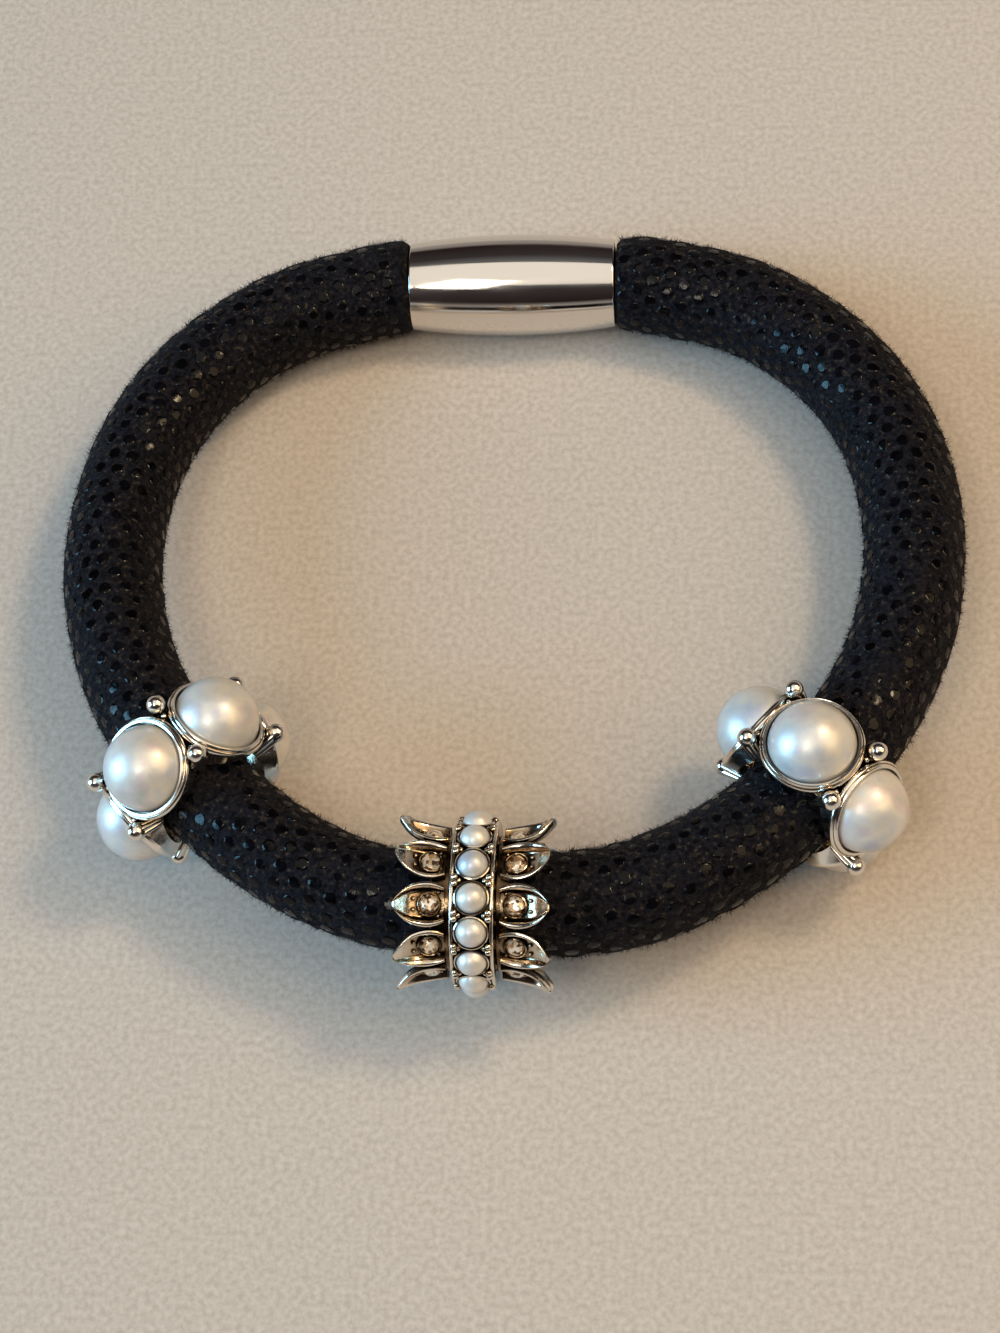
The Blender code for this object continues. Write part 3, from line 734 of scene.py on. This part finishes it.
class Route:
    """The cord's centreline in space, read by the distance from the clasp's right mouth."""

    def __init__(self, clasp_centre, right_bead, left_bead):
        half_width = LOOP_LENGTH / (2 * math.pi)
        for _ in range(ROUTE_FITTING_ROUNDS):
            plan = smooth_curve(plan_points(half_width))
            length = np.linalg.norm(np.diff(plan, axis=0), axis=1).sum()
            half_width *= LOOP_LENGTH / (length + CLASP_LENGTH)
        plan[:, 0] += clasp_centre[0] - CLASP_OFFSET
        plan[:, 1] += clasp_centre[1] - plan[0, 1]
        right = right_bead.middle
        left = left_bead.middle
        behind = plan[0, 1] - plan[:, 1]
        right_rise = (right[2] - clasp_centre[2]) / (clasp_centre[1] - right[1])
        left_rise = (left[2] - clasp_centre[2]) / (clasp_centre[1] - left[1])
        share = (plan[:, 0] - left[0]) / (right[0] - left[0])
        height = clasp_centre[2] + behind * (left_rise + (right_rise - left_rise) * share)
        self.points = np.column_stack([plan, height])
        self.distances = np.r_[0, np.cumsum(np.linalg.norm(np.diff(self.points, axis=0), axis=1))]
        self.length = self.distances[-1]

    def at(self, distances):
        """Points, side vectors and up vectors at these distances, straight past the mouths."""
        distances = np.asarray(distances, float)
        within = np.clip(distances, 0, self.length)
        points = np.stack([np.interp(within, self.distances, self.points[:, i]) for i in range(3)], -1)
        points[:, 0] += distances - within
        ahead = np.clip(within + DIRECTION_REACH, 0, self.length)
        back = np.clip(within - DIRECTION_REACH, 0, self.length)
        forward = np.stack(
            [
                np.interp(ahead, self.distances, self.points[:, i])
                - np.interp(back, self.distances, self.points[:, i])
                for i in range(3)
            ],
            -1,
        )
        forward /= np.linalg.norm(forward, axis=1)[:, None]
        side = np.cross((0, 0, 1), forward)
        side /= np.linalg.norm(side, axis=1)[:, None]
        up = np.cross(forward, side)
        return points, side, up

    def surface(self, distances, angles, radii):
        """Points on a tube round the cord; the three arrays have one shape."""
        shape = np.shape(distances)
        points, side, up = self.at(np.ravel(distances))
        sine = np.sin(np.ravel(angles))[:, None]
        cosine = np.cos(np.ravel(angles))[:, None]
        out = side * sine + up * cosine
        return (points + out * np.ravel(radii)[:, None]).reshape(*shape, 3)


# Leather


def pinch(distance_in, mouth_share):
    """Share of the girth that is left near a mouth, where the leather draws in."""
    share = np.clip(distance_in / PINCH_LENGTH, 0, 1)
    return mouth_share + (1 - mouth_share) * np.sin(share * math.pi / 2)


def leather_radius(route, distances):
    """The leather's radius at these distances, before its lumps."""
    shares, girths = zip(*LEATHER_GIRTH)
    girth = np.interp(distances / route.length, shares, girths)
    ends = pinch(distances, RIGHT_PINCH) * pinch(route.length - distances, LEFT_PINCH)
    return LEATHER_RADIUS * girth * ends


def suede(route, material):
    """The cord's skin, softly uneven, with rounded ends that step down into the clasp."""
    steps = int((route.length - 2 * MOUTH_GAP) / SUEDE_STEP)
    body = np.linspace(MOUTH_GAP, route.length - MOUTH_GAP, steps)
    radius = leather_radius(route, body)
    from_end = np.minimum(body - body[0], body[-1] - body)
    rounding = np.clip(from_end / MOUTH_ROUNDING, 0, 1)
    radius = radius - MOUTH_ROUNDING * MOUTH_DROP * (1 - np.sqrt(1 - (1 - rounding) ** 2))
    distances = np.r_[-SPIGOT_LENGTH, body[0], body, body[-1], route.length + SPIGOT_LENGTH]
    radius = np.r_[SPIGOT_RADIUS, SPIGOT_RADIUS, radius, SPIGOT_RADIUS, SPIGOT_RADIUS]
    lumps = sum(smooth_noise(len(distances), SUEDE_SIDES, *lump) for lump in SUEDE_LUMPS)
    inside = np.zeros((len(distances), 1))
    inside[2:-2] = 1
    angles = 2 * math.pi * np.arange(SUEDE_SIDES) / SUEDE_SIDES
    grid_distances, grid_angles = np.meshgrid(distances, angles, indexing="ij")
    shape = Shape()
    shape.add_grid(route.surface(grid_distances, grid_angles, radius[:, None] + lumps * inside))
    return shape.build("suede_cord", material, ["leather_cord"], sharp=50)


def dots(route, material):
    """Glossy printed dots in staggered rows, each a thin disc that follows the cord's round."""
    rows = int((route.length - 2 * DOT_RADIUS) / DOT_ROW_PITCH)
    row, column = np.meshgrid(np.arange(rows), np.arange(DOTS_AROUND), indexing="ij")
    angle = 2 * math.pi * (column + 0.5 * (row % 2)) / DOTS_AROUND
    centre = FIRST_DOT_ROW + DOT_ROW_PITCH * row.ravel() + RANDOM.normal(0, DOT_SHIFT, row.size)
    angle = angle.ravel() + RANDOM.normal(0, DOT_TURN, row.size)
    size = DOT_RADIUS * RANDOM.uniform(*DOT_SIZES, row.size)
    tilt = RANDOM.normal(0, DOT_LEAN, (row.size, 2))
    keep = RANDOM.random(row.size) > DOTS_MISSING
    centre, angle, size, tilt = centre[keep], angle[keep], size[keep], tilt[keep]
    turns = 2 * math.pi * np.arange(DOT_SIDES) / DOT_SIDES
    grids = []
    for reach, lift in DOT_PROFILE:
        away = size[:, None] * reach
        down = centre[:, None] + away * np.cos(turns)
        across = away * np.sin(turns)
        ground = leather_radius(route, down.ravel()).reshape(down.shape)
        lean = reach * (tilt[:, :1] * np.cos(turns) + tilt[:, 1:] * np.sin(turns))
        radius = ground + DOT_HEIGHT * lift + lean * (lift > 0)
        grids.append(route.surface(down, angle[:, None] + across / ground, radius))
    shape = Shape()
    for i in range(len(centre)):
        shape.add_grid(np.stack([grid[i] for grid in grids]))
    return shape.build("leather_dots", material, sharp=60)


def between_dots(distance, angle):
    """Whether each place on the cord is clear of the middles of the printed dots."""
    clear = np.ones(len(distance), bool)
    nearest = np.floor((distance - FIRST_DOT_ROW) / DOT_ROW_PITCH)
    for row in (nearest, nearest + 1):
        down = distance - FIRST_DOT_ROW - row * DOT_ROW_PITCH
        turns = angle * DOTS_AROUND / (2 * math.pi) - 0.5 * (row % 2)
        across = (turns - np.round(turns)) * 2 * math.pi / DOTS_AROUND * LEATHER_RADIUS
        clear &= np.hypot(down, across) > FUZZ_FREE_SHARE_OF_DOT * DOT_RADIUS
    return clear


def fuzz(route, material):
    """Short fibres standing off the suede between the dots."""
    distance = RANDOM.uniform(FUZZ_FROM_MOUTH, route.length - FUZZ_FROM_MOUTH, FUZZ_HAIRS)
    angle = RANDOM.uniform(0, 2 * math.pi, FUZZ_HAIRS)
    clear = between_dots(distance, angle)
    distance, angle = distance[clear], angle[clear]
    ground = leather_radius(route, distance)
    shares = RANDOM.uniform(FUZZ_LEAST_SHARES, FUZZ_MOST_SHARES, (len(distance), 2))
    length = FUZZ_LENGTH * np.prod(shares, axis=1)
    lean = RANDOM.normal(0, FUZZ_LEAN, (2, len(distance))) * length
    tip = route.surface(distance + lean[0], angle + lean[1] / ground, ground + length)
    clear = tip[:, 2] > FUZZ_CLEARANCE
    distance, angle, ground, tip = distance[clear], angle[clear], ground[clear], tip[clear]
    corners = []
    for turn in np.radians((0, 120, 240)):
        aside = FUZZ_WIDTH * math.cos(turn)
        along = FUZZ_WIDTH * math.sin(turn)
        corners.append(route.surface(distance + along, angle + aside / ground, ground - FUZZ_WIDTH))
    points = np.stack([*corners, tip], 1)
    faces = np.array([(0, 1, 3), (1, 2, 3), (2, 0, 3)])
    shape = Shape()
    shape.add(points, (faces[None] + 4 * np.arange(len(points))[:, None, None]).reshape(-1, 3))
    return shape.build("leather_fuzz", material, sharp=180)


# Clasp


def clasp(centre, material):
    """The barrel, turned about X, with a rounded lip and a socket at either mouth."""
    half = CLASP_LENGTH / 2
    x = np.linspace(-half + CLASP_EDGE, half - CLASP_EDGE, CLASP_STEPS)
    drop = CLASP_MIDDLE_RADIUS - CLASP_MOUTH_RADIUS
    outside = np.column_stack([x, CLASP_MIDDLE_RADIUS - drop * (x / half) ** 2])
    lip_centre = (half - CLASP_EDGE, outside[-1, 1] - CLASP_EDGE)
    right_lip = arc(lip_centre, CLASP_EDGE, CLASP_LIP_DEGREES, 0, ROUNDING_STEPS)
    left_lip = [(-x, radius) for x, radius in reversed(right_lip)]
    right_wall = [
        (half, CLASP_SOCKET_RADIUS + CLASP_SOCKET_EDGE),
        (half - CLASP_SOCKET_EDGE, CLASP_SOCKET_RADIUS),
    ]
    floor_at = half - CLASP_SOCKET_DEPTH
    right_floor = [(floor_at, CLASP_SOCKET_RADIUS), (floor_at, 0)]
    right_side = [*right_lip, *right_wall, *right_floor]
    left_side = [(-x, radius) for x, radius in reversed([*right_wall, *right_floor])]
    profile = [*left_side, *left_lip, *outside.tolist(), *right_side]
    shape = Shape()
    shape.add_grid(rings(profile, CLASP_SIDES), Matrix.Translation(centre))
    replaced = ["clasp_barrel", "clasp_plug"]
    return shape.build("clasp_shell", material, replaced, sharp=30)


# Pearls


def pearl(name, node, place, radius, material, dent):
    """A domed pearl, faintly dented, with a flat back."""
    turns = np.linspace(0, math.pi / 2, PEARL_ROWS)
    profile = np.column_stack([radius * np.cos(turns), radius * np.sin(turns)])
    grid = rings(profile, PEARL_SIDES)
    dents = np.abs(smooth_noise(PEARL_ROWS, PEARL_SIDES, *PEARL_DENT_CELLS, dent))
    grid *= 1 - dents[..., None] * np.sin(turns)[:, None, None]
    grid = np.concatenate([grid, rings([(-PEARL_BACK_DROP, 0.0)], PEARL_SIDES)])
    shape = Shape()
    shape.add_grid(grid, place @ STAND_UP)
    return shape.build(name, material, [node], sharp=60)


# Pearl beads


def cup(shape, place, back, pearl_radius):
    """A pearl's pan: its wall tapers in to the bead's bore, with a groove and a thin lip above."""
    rim = back + CUP_RIM_OVER_BACK
    inside = pearl_radius + CUP_GAP
    outside = inside + CUP_WALL
    foot = outside - CUP_TAPER
    angle = 2 * math.pi * np.arange(CUP_SIDES) / CUP_SIDES
    lower = []
    for share in CUP_FOOT_RINGS:
        across = share * foot * np.sin(angle)
        height = np.sqrt(BEAD_BORE**2 - across**2)
        lower.append(np.column_stack([height, across, share * foot * np.cos(angle)]))
    upper = [(rim - depth, outside - share * CUP_WALL) for depth, share in CUP_PROFILE]
    upper += [(back - CUP_SEAT_DROP, inside), (back - CUP_MIDDLE_DROP, 0.0)]
    grid = np.concatenate([lower, rings(upper, CUP_SIDES)])
    shape.add_grid(grid, place @ STAND_UP)


def ridged(angle):
    """The post's swell round its axis, from crest to groove."""
    return POST_CREST - POST_GROOVE * (1 - np.abs(np.cos(POST_RIDGES / 2 * angle)))


def post(shape, place):
    """A ball on a ridged stem that narrows towards the bore."""
    lift = np.linspace(0, 1, POST_STEPS)
    height = POST_FOOT + (POST_TOP - POST_FOOT) * lift
    radius = POST_FOOT_RADIUS + (POST_TOP_RADIUS - POST_FOOT_RADIUS) * lift**POST_SPREAD
    profile = [(POST_FOOT, 0), *zip(height, radius), (POST_TOP, 0)]
    upright = place @ STAND_UP
    shape.add_grid(rings(profile, POST_SIDES, ridged), upright)
    shape.add_grid(ball((BALL_FROM_AXIS, 0, 0), BALL_RADIUS, BALL_SIDES), upright)


def bead_core():
    """Profile of a pearl bead's tube, with chamfers inside and rounded ends outside."""
    end = BEAD_HALF - BEAD_ROUNDING
    crown = BEAD_CORE - BEAD_ROUNDING
    return [
        (-BEAD_HALF, BEAD_BORE + BEAD_EDGE),
        (-BEAD_HALF + BEAD_EDGE, BEAD_BORE),
        (BEAD_HALF - BEAD_EDGE, BEAD_BORE),
        (BEAD_HALF, BEAD_BORE + BEAD_EDGE),
        *arc((end, crown), BEAD_ROUNDING, 0, 90, ROUNDING_STEPS),
        *arc((-end, crown), BEAD_ROUNDING, 90, 180, ROUNDING_STEPS),
    ]


def pearl_bead(name, label, finishes):
    """One piece of metal for the tube, cups, posts and grains, and a piece for each pearl."""
    place = BEADS[name]
    shape = Shape()
    shape.add_grid(rings(bead_core(), BEAD_SIDES), place.matrix, wrap_rows=True)
    pitch = 2 * math.pi / len(place.pearls)
    for i in range(len(place.pearls)):
        angle = place.turn + pitch * i
        cup(shape, place.at(angle), place.pearl_back, place.pearl_radius)
        for x in (-BALL_HALF_SPACING, BALL_HALF_SPACING):
            post(shape, place.at(angle + pitch / 2, 0, x))
            grain = place.at(angle + pitch / 2, GRAIN_FROM_AXIS, x * GRAIN_SHARE)
            shape.add_grid(ball((0, 0, 0), GRAIN_RADIUS, GRAIN_SIDES), grain)
    metal = finishes["bright_silver"]
    shape.build(label + "_bead_metal", metal, [name + "_setting"], sharp=40)
    for i, node in enumerate(place.pearls):
        spot = place.at(place.turn + pitch * i, place.pearl_back)
        dome = f"{label}_pearl_dome_{i + 1}"
        pearl(dome, node, spot, place.pearl_radius, finishes["pearl"], LARGE_PEARL_DENTS)


# Crown bead


def petal_grid():
    """One petal: closed rings across it, from its root to its tip."""
    across = np.sin(np.linspace(-math.pi / 2, math.pi / 2, PETAL_STEPS))
    from_edge = 1 - np.abs(across)
    inward = np.clip((from_edge - PETAL_RIM_SHARE) / PETAL_SLOPE_SHARE, 0, 1)
    hollow = inward * inward * (3 - 2 * inward)
    rolled = 1 - np.clip(1 - from_edge / (PETAL_RIM_SHARE / 2), -1, 1) ** 2
    lip = np.sqrt(np.clip(1 - across**2, 0, 1))
    grid = []
    for along, width, flare, dish, thickness in smooth_table(PETAL_SECTIONS, PETAL_ROWS):
        half = width * PETAL_HALF_WIDTH
        rim = PETAL_RIM + PETAL_FLARE * flare**PETAL_CURL
        top = rim - PETAL_DISH * dish * hollow + PETAL_ROLL * (rolled * (1 - hollow) - 1)
        depth = thickness * PETAL_THICKNESS * (PETAL_EDGE_SHARE + (1 - PETAL_EDGE_SHARE) * lip)
        under = rim - PETAL_ROLL - depth
        x = np.full(PETAL_STEPS, PETAL_START + along * PETAL_LENGTH)
        upper = np.column_stack([x, across * half, top])
        lower = np.column_stack([x, across * half * PETAL_UNDERSIDE_SHARE, under])[::-1]
        grid.append(np.vstack([upper, lower]))
    grid = np.array(grid)
    root = np.broadcast_to(grid[0].mean(axis=0), grid[:1].shape)
    middle = grid[-1].mean(axis=0)
    nose = middle + (grid[-1:] - middle) * PETAL_NOSE_SHARE + (PETAL_NOSE, 0, 0)
    tip = np.broadcast_to(middle + (PETAL_TIP, 0, 0), grid[:1].shape)
    return np.concatenate([root, grid, nose, tip])


def petal_slope():
    """Angle at which a petal rises from its root to its middle."""
    root, middle = PETAL_SECTIONS[0], PETAL_SECTIONS[3]
    rise = (middle[2] ** PETAL_CURL - root[2]) * PETAL_FLARE
    return math.atan2(rise, (middle[0] - root[0]) * PETAL_LENGTH)


def crystal_spot():
    """Place of the crystal's girdle on a petal's sloping floor, in the petal's own frame."""
    slope = petal_slope()
    along = CRYSTAL_ALONG * PETAL_LENGTH
    floor = PETAL_RIM - PETAL_DISH + along * math.tan(slope) * CRYSTAL_RISE_SHARE
    return (
        Matrix.Translation((PETAL_START + along, 0, floor))
        @ Matrix.Rotation(-slope, 4, "Y")
        @ STAND_UP
    )


def crystal(shape, place):
    """A cut stone with a table and two rows of facets above its girdle."""
    grid = []
    for lift, reach, shift in CRYSTAL_LEVELS:
        angle = 2 * math.pi * (np.arange(CRYSTAL_FACETS) + shift) / CRYSTAL_FACETS
        radius = reach * CRYSTAL_RADIUS
        row = [np.full(CRYSTAL_FACETS, lift), radius * np.sin(angle), radius * np.cos(angle)]
        grid.append(np.column_stack(row))
    ends = [np.broadcast_to(row.mean(axis=0), row.shape) for row in (grid[0], grid[-1])]
    shape.add_grid([ends[0], *grid, ends[1]], place)


def crown_band():
    """Profile of the hub with its channel and two rounded rails."""
    rail = (BAND_HALF - CHANNEL_HALF) / 2
    top = RAIL_TOP - rail
    right = [
        (CHANNEL_HALF, CHANNEL_FLOOR),
        *arc((CHANNEL_HALF + rail, top), rail, 180, 0, RAIL_STEPS),
        (BAND_HALF, CROWN_HUB + CROWN_HUB_EDGE),
        (BAND_HALF + CROWN_HUB_EDGE, CROWN_HUB),
        (CROWN_HALF - CROWN_HUB_EDGE, CROWN_HUB),
        (CROWN_HALF, CROWN_HUB - CROWN_HUB_EDGE),
        (CROWN_HALF, CROWN_BORE + CROWN_BORE_EDGE),
        (CROWN_HALF - CROWN_BORE_EDGE, CROWN_BORE),
    ]
    left = [(-x, radius) for x, radius in reversed(right)]
    return [*left, *right]


def bezel(shape, place, pearl_radius):
    """A thin collar round one small pearl."""
    inside = pearl_radius + COLLAR_GAP
    outside = inside + COLLAR_WALL
    profile = [
        (-COLLAR_DEPTH, inside),
        (COLLAR_HEIGHT - COLLAR_EDGE, inside),
        (COLLAR_HEIGHT, inside + COLLAR_EDGE),
        (COLLAR_HEIGHT - COLLAR_EDGE, outside),
        (-COLLAR_DEPTH, outside),
    ]
    upright = place @ STAND_UP
    shape.add_grid(rings(profile, COLLAR_SIDES), upright, wrap_rows=True)


def petal_ring(metal, stones, place):
    """The petals on both sides, each with its crystal, the crystal's collar and four grains."""
    one_petal = petal_grid()
    on_petal = crystal_spot()
    profile = [(lift, reach * CRYSTAL_RADIUS) for lift, reach in CRYSTAL_COLLAR]
    collar = rings(profile, CRYSTAL_COLLAR_SIDES)
    for i in range(PETALS):
        angle = PETAL_TURN + 2 * math.pi * i / PETALS
        for mirrored in (False, True):
            at = place.at(angle, 0, 0, mirrored)
            metal.add_grid(one_petal, at)
            metal.add_grid(collar, at @ on_petal, wrap_rows=True)
            for along, aside, lift in PETAL_GRAINS:
                grain = ball((lift, aside, -along), PETAL_GRAIN_RADIUS, PETAL_GRAIN_SIDES)
                metal.add_grid(grain, at @ on_petal)
            crystal(stones, at @ on_petal)


def prongs(metal, place, angle):
    """Three prongs on either rail at this angle: two on top and one towards the channel."""
    rail_middle = (CHANNEL_HALF + BAND_HALF) / 2
    for x in (-rail_middle, rail_middle):
        for aside in (-PRONG_ASIDE, PRONG_ASIDE):
            prong = place.at(angle + aside, RAIL_TOP - PRONG_DROP, x * PRONG_SHARE)
            metal.add_grid(ball((0, 0, 0), PRONG_RADIUS, PRONG_SIDES), prong)
        third = place.at(angle, RAIL_TOP - THIRD_PRONG_DROP, x * THIRD_PRONG_SHARE)
        metal.add_grid(ball((0, 0, 0), PRONG_RADIUS, THIRD_PRONG_SIDES), third)


def crown_bead(finishes):
    """One piece of metal for the band and petals, one for all crystals, and one for each pearl."""
    place = BEADS["crown"]
    metal = Shape()
    stones = Shape()
    metal.add_grid(rings(crown_band(), CROWN_SIDES), place.matrix, wrap_rows=True)
    petal_ring(metal, stones, place)
    pitch = 2 * math.pi / len(place.pearls)
    for i, node in enumerate(place.pearls):
        angle = place.turn + pitch * i
        spot = place.at(angle, place.pearl_back)
        bezel(metal, spot, place.pearl_radius)
        prongs(metal, place, angle + pitch / 2)
        name = f"small_pearl_dome_{i + 1:02d}"
        pearl(name, node, spot, place.pearl_radius, finishes["pearl"], SMALL_PEARL_DENTS)
    replaced = ["crown_bead_body"]
    metal.build("crown_bead_metal", finishes["dark_silver"], replaced, sharp=40)
    stones.build("crown_crystals", finishes["crystal"], sharp=1)


# Stage, light and camera


def add_area(name, place, target, width, height, power, colour):
    """A rectangular light at this place, turned towards the target."""
    light = bpy.data.lights.new(name, "AREA")
    light.shape = "RECTANGLE"
    light.size = width
    light.size_y = height
    light.energy = power
    light.color = colour
    lamp = bpy.data.objects.new(name, light)
    lamp.location = place
    lamp.rotation_euler = (Vector(target) - Vector(place)).to_track_quat("-Z", "Y").to_euler()
    bpy.context.scene.collection.objects.link(lamp)


def stage():
    """The floor, the surround and the studio lights."""
    bpy.ops.mesh.primitive_plane_add(size=FLOOR_SIZE, location=(0, 0, 0))
    floor = bpy.context.object
    floor.name = "floor"
    floor.data.materials.append(floor_finish())
    studio_world()
    for lamp in LAMPS:
        add_area(*lamp)


def studio_world():
    """A dim surround, paler towards the horizon, which gives polished metal its bands."""
    world = bpy.data.worlds.new("studio")
    world.use_nodes = True
    tree = world.node_tree
    place = tree.nodes.new("ShaderNodeTexCoord")
    parts = tree.nodes.new("ShaderNodeSeparateXYZ")
    ramp = tree.nodes.new("ShaderNodeValToRGB")
    tree.links.new(place.outputs["Generated"], parts.inputs["Vector"])
    tree.links.new(parts.outputs["Z"], ramp.inputs["Fac"])
    tree.links.new(ramp.outputs["Color"], tree.nodes["Background"].inputs["Color"])
    elements = ramp.color_ramp.elements
    while len(elements) < len(SURROUND):
        elements.new(0.5)
    for element, (height, colour) in zip(elements, SURROUND):
        element.position = height
        element.color = (*colour, 1)
    bpy.context.scene.world = world


def camera(clasp_centre):
    """The camera at the photograph's viewing angle, held by its distance from the clasp."""
    data = bpy.data.cameras.new("camera")
    data.sensor_fit = "HORIZONTAL"
    data.sensor_width = SENSOR_WIDTH
    data.lens = CAMERA_LENS
    data.clip_start = CAMERA_NEAREST
    eye = bpy.data.objects.new("camera", data)
    tilt = Matrix.Rotation(math.pi / 2 - CAMERA_ELEVATION, 4, "X")
    turn = Matrix.Rotation(CAMERA_TURN, 4, "Z") @ tilt @ Matrix.Rotation(CAMERA_ROLL, 4, "Z")
    eye.matrix_world = Matrix.Translation(clasp_centre + CAMERA_FROM_CLASP) @ turn
    bpy.context.scene.collection.objects.link(eye)
    bpy.context.scene.camera = eye


clasp_low, clasp_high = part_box("clasp_barrel")
clasp_centre = (Vector(clasp_low) + Vector(clasp_high)) / 2
BEADS = {
    "right_bead": BeadPlace([f"right_bead_pearl_{i}" for i in range(1, 6)]),
    "left_bead": BeadPlace([f"left_bead_pearl_{i}" for i in range(1, 6)]),
    "crown": BeadPlace([f"crown_pearl_{i:02d}" for i in range(1, 16)]),
}
camera(clasp_centre)
bpy.context.scene.view_settings.view_transform = "Standard"
route = Route(np.array(clasp_centre), BEADS["right_bead"], BEADS["left_bead"])
finishes = {
    "bright_silver": silver_finish("bright_silver", 0.6 * MM, BRIGHT_SILVER_PAINTED_SHADE, 0.20),
    "dark_silver": silver_finish("dark_silver", 1.5 * MM, DARK_SILVER_TARNISH_AND_SHADE, 0.55),
    "pearl": pearl_finish(),
    "crystal": crystal_finish(),
}
suede(route, suede_finish())
dots(route, dot_finish())
fuzz(route, fuzz_finish())
clasp(clasp_centre, steel_finish())
pearl_bead("right_bead", "right", finishes)
pearl_bead("left_bead", "left", finishes)
crown_bead(finishes)
stage()
